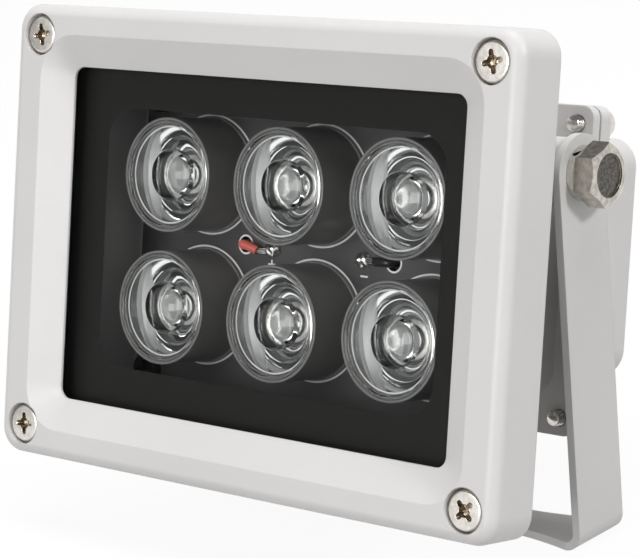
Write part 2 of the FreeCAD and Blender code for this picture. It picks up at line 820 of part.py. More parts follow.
def make_chip():
    body = new_body("driver_chip")
    sketch = new_sketch(body)
    rectangle(sketch, "chip_width", "chip_width * 0.8")
    pad(body, sketch, "chip_height", back=False)
    body.Placement = in_head("0", "chip_y", "driver_front")
    return body


# Cable gland, along the box's centre line; z runs out of the back

def make_gland():
    body = new_body("cable_gland_body")
    sketch = new_sketch(body)
    hexagon(sketch, "gland_hex")
    pad(body, sketch, "gland_hex_height", back=False)
    sketch = new_sketch(body)
    circle(sketch, "gland_thread_width")
    pad(body, sketch, "gland_inner_length + box_wall")
    sketch = new_sketch(body, "XY_Plane", "gland_hex_height")
    circle(sketch, "gland_neck_width")
    pad(body, sketch, "gland_neck_length", back=False)
    turned(body, (
        ("0", "-gland_inner_length - box_wall - 1"),
        ("gland_bore / 2", "-gland_inner_length - box_wall - 1"),
        ("gland_bore / 2", "gland_hex_height"),
        ("gland_seal_width / 2 + lens_gap", "gland_hex_height"),
        ("gland_seal_width / 2 + lens_gap", "gland_hex_height + gland_neck_length + 1"),
        ("0", "gland_hex_height + gland_neck_length + 1")), cut=True)
    body.Placement = in_head("0", "0", "box_back", ABOUT_FACE)

    seal = new_body("cable_gland_seal")
    inner, outer = "gland_bore / 2", "gland_seal_width / 2"
    turned(seal, (
        (inner, "gland_hex_height"), (outer, "gland_hex_height"),
        (outer, "gland_hex_height + gland_neck_length"),
        (inner, "gland_hex_height + gland_neck_length")))
    seal.Placement = in_head("0", "0", "box_back", ABOUT_FACE)

    nut = new_body("cable_gland_nut")
    sketch = new_sketch(nut, "XY_Plane", "gland_hex_height + lens_gap")
    hexagon(sketch, "gland_nut_hex")
    pad(nut, sketch, "gland_nut_length", back=False)
    top = "gland_hex_height + lens_gap + gland_nut_length"
    turned(nut, (
        ("gland_nut_hex / 2 + 3", f"{top} - 4"), ("gland_nut_hex / 2 + 3", f"{top} + 1"),
        ("gland_nut_hex / 2 - 3", f"{top} + 1"), ("gland_nut_hex / 2 - 3", top,
                                                  "gland_nut_hex / 2", -1),
        ("gland_nut_hex / 2", f"{top} - 4")), cut=True)
    turned(nut, (
        ("0", "0"), ("gland_neck_width / 2 + thread_gap", "0"),
        ("gland_neck_width / 2 + thread_gap", "gland_hex_height + gland_neck_length + lens_gap"),
        ("gland_bore / 2", "gland_hex_height + gland_neck_length + lens_gap"),
        ("gland_bore / 2", f"{top} + 1"), ("0", f"{top} + 1")), cut=True)
    nut.Placement = in_head("0", "0", "box_back", ABOUT_FACE)

    locknut = new_body("cable_gland_locknut")
    sketch = new_sketch(locknut, "XY_Plane", "-box_wall")
    hexagon(sketch, "gland_locknut_hex")
    pad(locknut, sketch, "gland_locknut_height")
    sketch = new_sketch(locknut, "XY_Plane", "-box_wall")
    circle(sketch, "gland_thread_width + 2 * thread_gap")
    pocket(locknut, sketch)
    locknut.Placement = in_head("0", "0", "box_back", ABOUT_FACE)
    return [body, seal, nut, locknut]


# Bracket and its bolts

def make_bracket():
    """One folded strip: a waisted base and two arms with round ends."""
    body = new_body("bracket")
    sketch = new_sketch(body, "XZ_Plane")
    inner, outer = "(bracket_span / 2)", "arm_outer"
    top = "(pivot_height + bracket_width / 2)"
    bend_in, bend_out = "bracket_bend", "(bracket_bend + bracket_thickness)"
    outline(sketch, (
        (outer, top), (inner, top), (inner, bend_out, bend_in, -1),
        (f"{inner} - {bend_in}", "bracket_thickness"),
        (f"-({inner} - {bend_in})", "bracket_thickness", bend_in, -1),
        (f"-{inner}", bend_out), (f"-{inner}", top), (f"-{outer}", top),
        (f"-{outer}", bend_out, bend_out, 1), (f"-({outer} - {bend_out})", "0"),
        (f"{outer} - {bend_out}", "0", bend_out, 1), (outer, bend_out)))
    strip = pad(body, sketch, "bracket_width")
    strip.Midplane = True
    doc.recompute()
    high = size(top)
    round_edges(body, "bracket_width / 2 - 0.02",
                lambda e: abs(e.BoundBox.ZMin - high) < 1e-4 and e.BoundBox.XLength > 0.1
                and e.BoundBox.YLength < 1e-4)
    sketch = new_sketch(body, "YZ_Plane")
    circle(sketch, "pivot_bolt_size + 2 * pivot_fit_gap", "0", "pivot_height")
    pocket(body, sketch, both=True)
    sketch = new_sketch(body)
    circle(sketch, "base_centre_hole_width")
    circle(sketch, "base_hole_width", "base_hole_pitch / 2")
    circle(sketch, "base_hole_width", "-base_hole_pitch / 2")
    pocket(body, sketch, "bracket_thickness", back=False)
    sketch = new_sketch(body)
    far, edge = f"({outer} - {bend_out})", "bracket_width / 2"
    curve = cap_radius(f"({far} - waist_start) / 2", "waist_depth")
    for start, end in (("waist_start", far), (f"-{far}", "-waist_start")):
        outline(sketch, ((start, edge), (start, f"{edge} + 1"), (end, f"{edge} + 1"),
                         (end, edge, curve, -1)))
        outline(sketch, ((start, f"-({edge})", curve, -1), (end, f"-({edge})"),
                         (end, f"-({edge}) - 1"), (start, f"-({edge}) - 1")))
    pocket(body, sketch, "bracket_thickness", back=False)
    return body


def make_bolt(label, side):
    """A hexagon bolt along -z, its head standing on z = 0."""
    body = new_body(label)
    sketch = new_sketch(body)
    hexagon(sketch, "bolt_hex")
    pad(body, sketch, "bolt_head_height", back=False)
    corner = "bolt_hex / sqrt(3)"
    face = "bolt_hex / 2 * bolt_face_share"
    turned(body, (
        (face, "bolt_head_height + 1"), (face, "bolt_head_height"),
        (f"{corner} + 0.2", f"bolt_head_height - ({corner} + 0.2 - {face}) * tan(30)"),
        (f"{corner} + 0.2", "bolt_head_height + 1")), cut=True)
    sketch = new_sketch(body, "XY_Plane", "bolt_head_height")
    circle(sketch, "bolt_dish_width")
    pocket(body, sketch, "bolt_dish_depth")
    sketch = new_sketch(body)
    circle(sketch, "pivot_bolt_size")
    pad(body, sketch, "pivot_bolt_length")
    reach = f"{side} * (arm_outer + washer_thickness + pivot_side_gap)"
    body.Placement = in_head(reach, "pivot_rise", "pivot_depth",
                             Rotation(Vector(0, 1, 0), 90 * side))
    return body


def make_spring_washer(label, side):
    """A split lock washer between the arm and the bolt head."""
    body = new_body(label)
    sketch = new_sketch(body)
    circle(sketch, "washer_width")
    circle(sketch, "washer_bore")
    pad(body, sketch, "washer_thickness", back=False)
    sketch = new_sketch(body, "XZ_Plane")
    half, lean = "washer_split / 2", "washer_thickness / 3"
    outline(sketch, (
        (f"-({half}) - {lean}", "0"), (f"{half} - {lean}", "0"),
        (f"{half} + {lean}", "washer_thickness"), (f"-({half}) + {lean}", "washer_thickness")))
    pocket(body, sketch, "washer_width")
    reach = f"{side} * (arm_outer + pivot_side_gap / 2)"
    turn = Rotation(Vector(0, 1, 0), 90 * side) * Rotation(Vector(0, 0, 1),
                                                             size("washer_split_turn"))
    body.Placement = in_head(reach, "pivot_rise", "pivot_depth", turn)
    return body


# Assembly

pieces = [
    make_bracket(),
    make_bezel(),
    make_glass(),
    make_ring("glass_gasket", "glass_back", "gasket_thickness", "glass_width",
              "glass_height", "glass_corner", "gasket_width"),
    make_screws("bezel_screws", "bezel_head_width", "bezel_head_height", "bezel_screw_size",
                "bezel_screw_length", "bezel_screw_x", "bezel_screw_y", "bezel_recess_depth"),
    make_housing(),
    make_board(),
    make_screws("board_screws", "small_head_width", "small_head_height", "small_screw_size",
                "board_screw_length", "board_screw_x", "board_screw_y", "board_front"),
    make_wire("red_wire", -1),
    make_wire("black_wire", 1),
    make_cover_gasket(),
    make_cover(),
    make_screws("cover_screws", "small_head_width", "small_head_height", "small_screw_size",
                "cover_screw_length", "cover_screw_x", "cover_screw_y", "cover_seat", ABOUT_FACE),
    make_driver(),
    make_screws("driver_screws", "small_head_width", "small_head_height", "small_screw_size",
                "driver_screw_length", "driver_post_x", "driver_post_y", "driver_front"),
    make_round_component("driver_inductor", "inductor_width", "inductor_height", "inductor_x"),
    make_round_component("driver_capacitor", "capacitor_width", "capacitor_height", "capacitor_x"),
    make_chip(),
    *make_gland(),
]
for side, name in ((1, "right"), (-1, "left")):
    pieces.append(make_bolt("pivot_bolt_" + name, side))
    pieces.append(make_spring_washer("spring_washer_" + name, side))

number = 0
for up in ("lens_pitch_y / 2", "-lens_pitch_y / 2"):
    for across in ("-lens_pitch_x", "0", "lens_pitch_x"):
        number += 1
        pieces.append(make_led(f"led_{number}", across, up))
        pieces.append(make_lens(f"lens_{number}", across, up))
        pieces.append(make_cup(f"lens_holder_{number}", across, up))

doc.recompute()
for thing in doc.Objects:
    if "Invalid" in thing.State or "Error" in thing.State:
        raise RuntimeError(f"{thing.Name} failed: {thing.State}")
for piece in pieces:
    if piece.Shape.isNull() or not piece.Shape.isValid():
        raise RuntimeError(f"{piece.Label} has no valid shape")

os.makedirs("parts", exist_ok=True)
for piece in pieces:
    piece.Shape.exportStep(os.path.join("parts", piece.Label + ".step"))
    print(f"{piece.Label}: {len(piece.Shape.Solids)} solid(s), {piece.Shape.Volume:.1f} mm3")
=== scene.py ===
"""Looks of the infrared illuminator: camera, light, materials and the fine detail of its pieces.

Lengths are in metres. The lamp head's own pieces are drawn in the head's frame, with x to the
right, y back from the front face ("depth") and z up, and HEAD takes them to the row frame.
"""

import json
import math

import bmesh
import bpy
from mathutils import Matrix, Vector, noise


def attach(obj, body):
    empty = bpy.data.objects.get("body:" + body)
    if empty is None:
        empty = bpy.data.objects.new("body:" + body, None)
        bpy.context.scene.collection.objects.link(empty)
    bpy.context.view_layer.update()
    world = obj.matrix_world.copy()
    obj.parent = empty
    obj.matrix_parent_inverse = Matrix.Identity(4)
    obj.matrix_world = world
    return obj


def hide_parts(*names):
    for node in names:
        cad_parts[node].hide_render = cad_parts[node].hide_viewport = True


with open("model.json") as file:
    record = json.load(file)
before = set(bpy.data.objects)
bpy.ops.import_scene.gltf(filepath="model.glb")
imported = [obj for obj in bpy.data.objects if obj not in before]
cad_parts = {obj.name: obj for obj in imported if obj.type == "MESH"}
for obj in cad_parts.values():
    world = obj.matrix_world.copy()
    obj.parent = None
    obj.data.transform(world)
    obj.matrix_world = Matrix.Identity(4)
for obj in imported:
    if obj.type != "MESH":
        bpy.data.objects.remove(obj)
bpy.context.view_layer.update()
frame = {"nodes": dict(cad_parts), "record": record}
nodes = frame["nodes"]

MM = 0.001

# The head's tilt and pivot
TILT = math.radians(12)
PIVOT = Vector(frame["record"]["behaviour"]["joints"][0]["pos_m"])
PIVOT_DEPTH = 34.6 * MM
PIVOT_RISE = 18.3 * MM
HEAD = (Matrix.Translation(PIVOT) @ Matrix.Rotation(-TILT, 4, "X")
        @ Matrix.Translation((0, -PIVOT_DEPTH, -PIVOT_RISE)))

# Sizes that repeat the frame's own
GLASS_BACK = 6.8 * MM
GLASS_WIDTH = 97.0 * MM
GLASS_HEIGHT = 68.0 * MM
WINDOW_WIDTH = 79.0 * MM
WINDOW_HEIGHT = 48.4 * MM
WINDOW_CORNER = 6.0 * MM
BOARD_FRONT = 22.1 * MM
LENS_PITCH_X = 27.1 * MM
LENS_PITCH_Y = 24.7 * MM
LENS_FRONT = 9.7 * MM
FLOOR_FRONT = 23.7 * MM
CAVITY_WIDTH = 92.6 * MM
CAVITY_HEIGHT = 63.6 * MM
BEZEL_SCREW_X = 52.2 * MM
BEZEL_SCREW_Y = 36.8 * MM
BEZEL_RECESS_DEPTH = 2.7 * MM
COVER_SCREW_X = 39.85 * MM
COVER_SCREW_Y = 26.45 * MM
COVER_SEAT = 50.3 * MM
BOLT_FACE = 53.7 * MM

# The lens's recessed face, below its rim, and the height where a cup's dark wall starts
FACE_STEP = 1.0 * MM
CUP_BAND = 5.4 * MM

# Level of the room as light, against how it looks in a reflection
ROOM_LEVEL = 0.60

# Camera, fitted to the photograph
CAMERA_PLACE = Vector((0.2978178, -0.3581672, 0.1650656))
CAMERA_TURN = [math.radians(a) for a in (75.45723, 4.51391, 39.87689)]
CAMERA_LENS = 144.34


# Materials

class Shader:
    """A material's node tree, with short calls for the nodes that this script uses."""

    def __init__(self, name):
        self.material = bpy.data.materials.new(name)
        self.material.use_nodes = True
        self.tree = self.material.node_tree
        self.tree.nodes.clear()

    def add(self, kind, inputs=None, **settings):
        node = self.tree.nodes.new("ShaderNode" + kind)
        for name, value in settings.items():
            setattr(node, name, value)
        for name, value in (inputs or {}).items():
            socket = node.inputs[name]
            if isinstance(value, bpy.types.NodeSocket):
                self.tree.links.new(value, socket)
            else:
                socket.default_value = value
        return node

    def spot(self):
        """The point of the surface at rest, in the row frame."""
        return self.add("TexCoord").outputs["Object"]

    def noise(self, scale, detail=2.0, stretch=None):
        """Noise of so many cells a metre."""
        place = self.spot()
        if stretch:
            place = self.add("Mapping", {"Vector": place, "Scale": stretch}).outputs["Vector"]
        return self.add("TexNoise", {"Vector": place, "Scale": scale,
                                     "Detail": detail}).outputs["Fac"]

    def remap(self, value, low, high, to_low, to_high):
        """The value carried from one range to another, and held within it."""
        return self.add("MapRange", {"Value": value, "From Min": low, "From Max": high,
                                     "To Min": to_low, "To Max": to_high}).outputs["Result"]

    def maths(self, operation, first, second=0.0):
        return self.add("Math", {0: first, 1: second}, operation=operation).outputs["Value"]

    def mix(self, share, first, second):
        """A colour between two colours."""
        node = self.add("Mix", data_type="RGBA")
        for index, value in ((0, share), (6, first), (7, second)):
            if isinstance(value, bpy.types.NodeSocket):
                self.tree.links.new(value, node.inputs[index])
            elif index:
                node.inputs[index].default_value = (*value, 1.0)
            else:
                node.inputs[index].default_value = value
        return node.outputs[2]

    def bump(self, height, distance, strength=1.0, normal=None):
        inputs = {"Height": height, "Distance": distance, "Strength": strength}
        if normal is not None:
            inputs["Normal"] = normal
        return self.add("Bump", inputs).outputs["Normal"]

    def soft_edges(self, radius):
        """A normal that rounds the mesh's sharp edges."""
        return self.add("Bevel", {"Radius": radius}, samples=6).outputs["Normal"]

    def principled(self, inputs):
        return self.add("BsdfPrincipled", inputs).outputs["BSDF"]

    def finish(self, surface):
        output = self.add("OutputMaterial")
        self.tree.links.new(surface, output.inputs["Surface"])
        return self.material

    def head_spot(self):
        """The point of the surface in the head's frame, as x, depth and height."""
        stood = self.add("VectorRotate", {"Vector": self.spot(), "Center": tuple(PIVOT),
                                          "Angle": TILT}, rotation_type="X_AXIS").outputs[0]
        shift = (0, PIVOT_DEPTH - PIVOT.y, PIVOT_RISE - PIVOT.z)
        moved = self.add("VectorMath", {0: stood, 1: shift}, operation="ADD").outputs["Vector"]
        return self.add("SeparateXYZ", {"Vector": moved}).outputs


def paint(name, light, dark, edge=0.35 * MM, cavity_shade=None):
    """Satin powder paint: a faint peel, fine grain and slow drift of tone."""
    s = Shader(name)
    drift = s.noise(38, 3)
    grain = s.noise(5200, 1)
    peel = s.noise(620, 2)
    tone = s.maths("ADD", s.maths("MULTIPLY", drift, 0.7), s.maths("MULTIPLY", grain, 0.3))
    colour = s.mix(s.remap(tone, 0.3, 0.7, 0.0, 1.0), dark, light)
    # The housing's front cavity takes a darker paint colour: painted shade.
    if cavity_shade is not None:
        colour = s.mix(cavity_shade_share(s), colour, cavity_shade)
    relief = s.maths("ADD", s.maths("MULTIPLY", peel, 0.75), s.maths("MULTIPLY", grain, 0.25))
    return s.finish(s.principled({
        "Base Color": colour,
        "Roughness": s.remap(peel, 0.3, 0.7, 0.36, 0.48),
        "Specular IOR Level": 0.5,
        "Coat Weight": 0.12,
        "Coat Roughness": 0.22,
        "Normal": s.bump(relief, 0.035 * MM, 0.55, s.soft_edges(edge))}))


def cavity_shade_share(s):
    """1 in the housing's front cavity, where the paint is darkened as painted shade, and 0 elsewhere.
    """
    x, depth, up = s.head_spot()[:3]
    margin = 0.2 * MM
    share = None
    for value, reach in ((x, CAVITY_WIDTH / 2 + margin), (up, CAVITY_HEIGHT / 2 + margin)):
        near = s.maths("LESS_THAN", s.maths("ABSOLUTE", value), reach)
        share = near if share is None else s.maths("MULTIPLY", share, near)
    ahead = s.maths("LESS_THAN", depth, FLOOR_FRONT + margin)
    return s.maths("MULTIPLY", share, ahead)


def metal(name, light, dark, roughness=0.22, edge=0.12 * MM, grain=2600, relief=0.006 * MM):
    """Plated steel with faint tool marks and a slight change of tone."""
    s = Shader(name)
    cloud = s.noise(900, 3)
    marks = s.noise(grain, 3, (1.0, 1.0, 4.0))
    return s.finish(s.principled({
        "Base Color": s.mix(s.remap(cloud, 0.35, 0.65, 0.0, 1.0), dark, light),
        "Metallic": 1.0,
        "Roughness": s.remap(marks, 0.3, 0.7, roughness - 0.06, roughness + 0.08),
        "Normal": s.bump(marks, relief, 0.5, s.soft_edges(edge))}))


def bolt_metal():
    """Plated steel, rougher in the dish of the bolt's head, where its colour is darkened as painted
    shade.
    """
    s = Shader("bolt_steel")
    dish_radius, lip, deepest = 3.86 * MM, 0.08 * MM, 0.6 * MM
    x, y, z = s.add("SeparateXYZ", {"Vector": s.spot()}).outputs[:3]
    rise = s.maths("SUBTRACT", z, PIVOT.z)
    square = s.maths("ADD", s.maths("MULTIPLY", y, y), s.maths("MULTIPLY", rise, rise))
    reach = s.maths("SQRT", square)
    dish = s.maths("MULTIPLY", s.maths("LESS_THAN", reach, dish_radius),
                   s.maths("LESS_THAN", s.maths("ABSOLUTE", x), BOLT_FACE - lip))
    dish = s.maths("MULTIPLY", dish, s.maths("GREATER_THAN", s.maths("ABSOLUTE", x),
                                             BOLT_FACE - deepest))
    cloud = s.noise(900, 3)
    marks = s.noise(2600, 3)
    plain = s.mix(s.remap(cloud, 0.35, 0.65, 0.0, 1.0), (0.42, 0.39, 0.35), (0.60, 0.57, 0.51))
    # The dish's near-black colour is painted shade; its roughness and cast bump are the surface's
    # own.
    cast = s.noise(1900, 2)
    dish_shade = s.mix(s.remap(cast, 0.36, 0.66, 0.0, 1.0), (0.065, 0.060, 0.054), (0.15, 0.14, 0.125))
    return s.finish(s.principled({
        "Base Color": s.mix(dish, plain, dish_shade),
        "Metallic": 1.0,
        "Roughness": s.maths("ADD", s.remap(marks, 0.3, 0.7, 0.08, 0.15),
                             s.maths("MULTIPLY", dish, 0.2)),
        "Normal": s.bump(s.maths("ADD", s.maths("MULTIPLY", marks, 0.1),
                                 s.maths("MULTIPLY", s.maths("MULTIPLY", cast, dish), 1.6)),
                         0.06 * MM, 0.6, s.soft_edges(0.1 * MM))}))


def plastic(name, light, dark, roughness=0.35, edge=0.1 * MM, grain=4200, relief=0.008 * MM):
    """Moulded plastic or rubber with a fine grain."""
    s = Shader(name)
    cloud = s.noise(140, 3)
    pits = s.noise(grain, 2)
    return s.finish(s.principled({
        "Base Color": s.mix(s.remap(cloud, 0.3, 0.7, 0.0, 1.0), dark, light),
        "Roughness": s.remap(pits, 0.3, 0.7, roughness - 0.05, roughness + 0.07),
        "Specular IOR Level": 0.45,
        "Normal": s.bump(pits, relief, 0.5, s.soft_edges(edge))}))


def window_glass():
    """Coated flat glass: clear, with a weak reflection and a trace of dust."""
    s = Shader("window_glass")
    dust = s.noise(1500, 4)
    shine = s.add("Fresnel", {"IOR": 1.09}).outputs["Fac"]
    share = s.maths("ADD", shine, s.remap(dust, 0.55, 0.85, 0.0, 0.012))
    gloss = s.principled({"Base Color": (0.75, 0.78, 0.78, 1.0), "Metallic": 1.0,
                          "Roughness": s.remap(dust, 0.3, 0.7, 0.015, 0.04)})
    clear = s.add("BsdfTransparent", {"Color": (0.985, 0.99, 0.99, 1.0)}).outputs["BSDF"]
    return s.finish(s.add("MixShader", {0: share, 1: clear, 2: gloss}).outputs["Shader"])


def print_black():
    """The black border baked on the glass."""
    s = Shader("print_black")
    speck = s.noise(2400, 2)
    return s.finish(s.principled({
        "Base Color": s.mix(speck, (0.0155, 0.0150, 0.0140), (0.0205, 0.0200, 0.0190)),
        "Roughness": s.remap(speck, 0.3, 0.7, 0.3, 0.42),
        "Specular IOR Level": 0.08}))


def lens_clear():
    """Clear acrylic with the faintest flow marks."""
    s = Shader("lens_clear")
    flow = s.noise(420, 2)
    return s.finish(s.principled({
        "Base Color": s.mix(flow, (0.985, 0.99, 0.985), (1.0, 1.0, 1.0)),
        "Transmission Weight": 1.0,
        "IOR": 1.49,
        "Roughness": 0.0,
        "Normal": s.bump(flow, 0.004 * MM, 0.4)}))


def resin():
    """The emitter's clear dome."""
    s = Shader("emitter_dome")
    flow = s.noise(1600, 2)
    return s.finish(s.principled({
        "Base Color": s.mix(flow, (0.96, 0.97, 0.94), (1.0, 1.0, 0.98)),
        "Transmission Weight": 1.0,
        "IOR": 1.41,
        "Roughness": 0.0,
        "Normal": s.bump(flow, 0.004 * MM, 0.3)}))


def board_mask():
    """Dark solder mask over copper, with a faint weave and scuffs."""
    s = Shader("board_mask")
    weave = s.noise(2600, 2)
    cloud = s.noise(90, 3)
    tone = s.maths("ADD", s.maths("MULTIPLY", cloud, 0.7), s.maths("MULTIPLY", weave, 0.3))
    return s.finish(s.principled({
        "Base Color": s.mix(s.remap(tone, 0.3, 0.7, 0.0, 1.0),
                            (0.052, 0.051, 0.050), (0.066, 0.065, 0.064)),
        "Roughness": s.remap(weave, 0.3, 0.7, 0.42, 0.55),
        "Normal": s.bump(weave, 0.01 * MM, 0.5, s.soft_edges(0.1 * MM))}))


def solder():
    """Bright, uneven solder."""
    s = Shader("solder")
    lump = s.noise(2400, 3)
    return s.finish(s.principled({
        "Base Color": s.mix(lump, (0.72, 0.72, 0.70), (0.92, 0.92, 0.90)),
        "Metallic": 1.0,
        "Roughness": s.remap(lump, 0.3, 0.7, 0.12, 0.3),
        "Normal": s.bump(lump, 0.05 * MM, 0.6)}))


def ink(name, light, dark):
    """Printed marks on the board."""
    s = Shader(name)
    speck = s.noise(6500, 2)
    return s.finish(s.principled({
        "Base Color": s.mix(s.remap(speck, 0.35, 0.65, 0.0, 1.0), dark, light),
        "Roughness": s.remap(speck, 0.3, 0.7, 0.35, 0.5),
        "Normal": s.bump(speck, 0.01 * MM, 0.4)}))


PAINT = paint("grey_paint", (0.635, 0.622, 0.614), (0.600, 0.588, 0.580))
# The darker colour for the front cavity is painted shade.
HOUSING_PAINT = paint("housing_paint", (0.625, 0.612, 0.602), (0.590, 0.578, 0.568),
                      cavity_shade=(0.50, 0.49, 0.48))
BRACKET_PAINT = paint("bracket_paint", (0.615, 0.602, 0.590), (0.575, 0.562, 0.550), 0.25 * MM)
SCREW_METAL = metal("nickel_screw", (0.80, 0.77, 0.72), (0.66, 0.63, 0.58), 0.2)
BOLT_METAL = bolt_metal()
WASHER_METAL = metal("washer_steel", (0.78, 0.76, 0.71), (0.58, 0.56, 0.52), 0.16)
# The cross recess gets a darker, browner metal: painted shade.
RECESS_SHADE_METAL = metal("screw_recess_shade", (0.58, 0.51, 0.42), (0.36, 0.31, 0.25), 0.24)
THREAD_METAL = metal("thread_steel", (0.74, 0.72, 0.68), (0.58, 0.56, 0.52), 0.2, 0.03 * MM)
# Near-black metal in the thread's valleys: painted shade.
GROOVE_SHADE_METAL = metal("thread_groove_shade", (0.10, 0.095, 0.085), (0.06, 0.056, 0.05), 0.4, 0.03 * MM)
# The board's screws get a near-black metal as painted shade for the shaded corners where they sit.
SHADED_SCREW_STEEL = metal("board_screw_shade", (0.060, 0.058, 0.056), (0.035, 0.034, 0.033), 0.4)
EMITTER_METAL = metal("emitter_metal", (0.85, 0.84, 0.80), (0.72, 0.71, 0.66), 0.25)
GLASS = window_glass()
PRINT = print_black()
LENS = lens_clear()
DOME = resin()
BOARD = board_mask()
SOLDER = solder()
HOLDER = plastic("holder_black", (0.20, 0.196, 0.19), (0.165, 0.16, 0.155), 0.34)
RUBBER = plastic("black_rubber", (0.022, 0.022, 0.022), (0.012, 0.012, 0.012), 0.6)
GASKET = plastic("grey_silicone", (0.42, 0.42, 0.41), (0.36, 0.36, 0.35), 0.55)
NYLON = plastic("black_nylon", (0.030, 0.030, 0.031), (0.016, 0.016, 0.017), 0.42)
RED = plastic("red_insulation", (0.84, 0.19, 0.16), (0.72, 0.13, 0.11), 0.28)
BLACK = plastic("black_insulation", (0.028, 0.027, 0.026), (0.014, 0.014, 0.014), 0.28)
GREEN = plastic("green_board", (0.03, 0.16, 0.07), (0.02, 0.11, 0.05), 0.35)
CASE = plastic("component_case", (0.05, 0.05, 0.055), (0.03, 0.03, 0.034), 0.4)
CHIP = plastic("emitter_chip", (0.95, 0.94, 0.84), (0.88, 0.87, 0.75), 0.3)
CUP_WALL = plastic("cup_wall", (0.030, 0.029, 0.028), (0.018, 0.018, 0.017), 0.3)
PACKAGE = metal("emitter_package", (0.50, 0.49, 0.46), (0.36, 0.35, 0.33), 0.3)
CUP_FLOOR = metal("cup_floor", (0.97, 0.97, 0.96), (0.90, 0.90, 0.89), 0.36)
# An opaque near-white band on the lens's bead: a painted highlight for its bright ring.
BEAD_HIGHLIGHT = plastic("lens_bead_highlight", (0.92, 0.92, 0.91), (0.78, 0.78, 0.77), 0.45)
INK = ink("board_ink", (0.97, 0.97, 0.96), (0.86, 0.86, 0.85))


# Meshes

def linked(name, data):
    """A new object of the scene that shows the data."""
    piece = bpy.data.objects.new(name, data)
    bpy.context.collection.objects.link(piece)
    return piece


def mesh_piece(name, verts, faces, material, place=None, sharp=35):
    """A mesh object from corner points and faces, smooth but for its sharp edges."""
    mesh = bpy.data.meshes.new(name)
    mesh.from_pydata([tuple(v) for v in verts], [], faces)
    mesh.transform(place or Matrix.Identity(4))
    mesh.validate()
    mesh.materials.append(material)
    mesh.shade_smooth()
    mesh.set_sharp_from_angle(angle=math.radians(sharp))
    return linked(name, mesh)


def outward(piece):
    """Turns every face of a closed mesh outward."""
    shell = bmesh.new()
    shell.from_mesh(piece.data)
    bmesh.ops.recalc_face_normals(shell, faces=shell.faces)
    shell.to_mesh(piece.data)
    shell.free()
    return piece


def joined(name, parts):
    """One object from several, keeping their materials."""
    shell = bmesh.new()
    target = bpy.data.meshes.new(name)
    slots = []
    for part in parts:
        start = len(shell.faces)
        shell.from_mesh(part.data)
        shell.faces.ensure_lookup_table()
        for material in part.data.materials:
            if material not in slots:
                slots.append(material)
        own = [slots.index(material) for material in part.data.materials]
        for face in shell.faces[start:]:
            face.material_index = own[face.material_index]
        bpy.data.objects.remove(part)
    shell.to_mesh(target)
    shell.free()
    for material in slots:
        target.materials.append(material)
    return linked(name, target)


def standing(x, depth, up):
    """Placement at a spot of the head, for a piece whose z axis points out of the front."""
    return HEAD @ Matrix.Translation((x, depth, up)) @ Matrix.Rotation(math.pi / 2, 4, "X")


def arc(start, end, bulge, count=10):
    """Points from start to end on an arc; a positive bulge swells to the left of the way."""
    start, end = Vector(start), Vector(end)
    chord = end - start
    half = chord.length / 2
    radius = (half ** 2 + bulge ** 2) / (2 * abs(bulge))
    side = Vector((-chord.y, chord.x)).normalized() * math.copysign(1, bulge)
    centre = (start + end) / 2 - side * (radius - abs(bulge))
    first, last = start - centre, end - centre
    turn = math.atan2(first.x * last.y - first.y * last.x, first.dot(last))
    return [centre + Matrix.Rotation(turn * i / count, 2) @ first for i in range(count + 1)]


def rounded(profile, radius=0.12 * MM, count=3, closed=True):
    """The profile with its sharp corners rounded."""
    points = [Vector(p) for p in profile]
    out = []
    total = len(points)
    for i, corner in enumerate(points):
        if not closed and i in (0, total - 1):
            out.append(corner)
            continue
        before, after = points[i - 1], points[(i + 1) % total]
        come, leave = corner - before, after - corner
        turn = abs(come.angle(leave, 0.0))
        cut = min(radius, come.length * 0.45, leave.length * 0.45)
        if turn < math.radians(25) or cut < 1e-6:
            out.append(corner)
            continue
        first, last = corner - come.normalized() * cut, corner + leave.normalized() * cut
        for step in range(count + 1):
            t = step / count
            out.append(first * (1 - t) ** 2 + corner * 2 * t * (1 - t) + last * t ** 2)
    return out


def lathe(name, profile, material, place=None, sides=96, sharp=35):
    """A form turned about z from (radius, z) points; points on the axis close it."""
    verts, faces, rings = [], [], []
    for radius, height in profile:
        if radius < 1e-7:
            rings.append([len(verts)])
            verts.append((0, 0, height))
            continue
        rings.append(list(range(len(verts), len(verts) + sides)))
        for i in range(sides):
            a = 2 * math.pi * i / sides
            verts.append((radius * math.cos(a), radius * math.sin(a), height))
    pairs = list(zip(rings, rings[1:]))
    if len(rings[0]) > 1 and len(rings[-1]) > 1:
        pairs.append((rings[-1], rings[0]))
    for low, high in pairs:
        for i in range(sides):
            j = (i + 1) % sides
            if len(low) == 1:
                faces.append((low[0], high[j], high[i]))
            elif len(high) == 1:
                faces.append((low[i], low[j], high[0]))
            else:
                faces.append((low[i], low[j], high[j], high[i]))
    return outward(mesh_piece(name, verts, faces, material, place, sharp))


def rounded_rectangle(width, height, corner, steps=12):
    """Points of a rounded rectangle about the origin, counter-clockwise."""
    points = []
    for quarter in range(4):
        cx = (width / 2 - corner) * (1, -1, -1, 1)[quarter]
        cy = (height / 2 - corner) * (1, 1, -1, -1)[quarter]
        for step in range(steps + 1):
            a = math.pi / 2 * (quarter + step / steps)
            points.append((cx + corner * math.cos(a), cy + corner * math.sin(a)))
    return points


def frame_plate(name, outer, inner, thickness, material, place):
    """A flat plate between two outlines that have equal numbers of points."""
    count = len(outer)
    verts = [(x, y, z) for z in (0, -thickness) for ring in (outer, inner) for x, y in ring]
    faces = []
    for i in range(count):
        j = (i + 1) % count
        out_top, in_top, out_low, in_low = (n * count for n in range(4))
        faces += [(out_top + i, out_top + j, in_top + j, in_top + i),
                  (out_low + j, out_low + i, in_low + i, in_low + j),
                  (out_top + j, out_top + i, out_low + i, out_low + j),
                  (in_top + i, in_top + j, in_low + j, in_low + i)]
    return outward(mesh_piece(name, verts, faces, material, place))


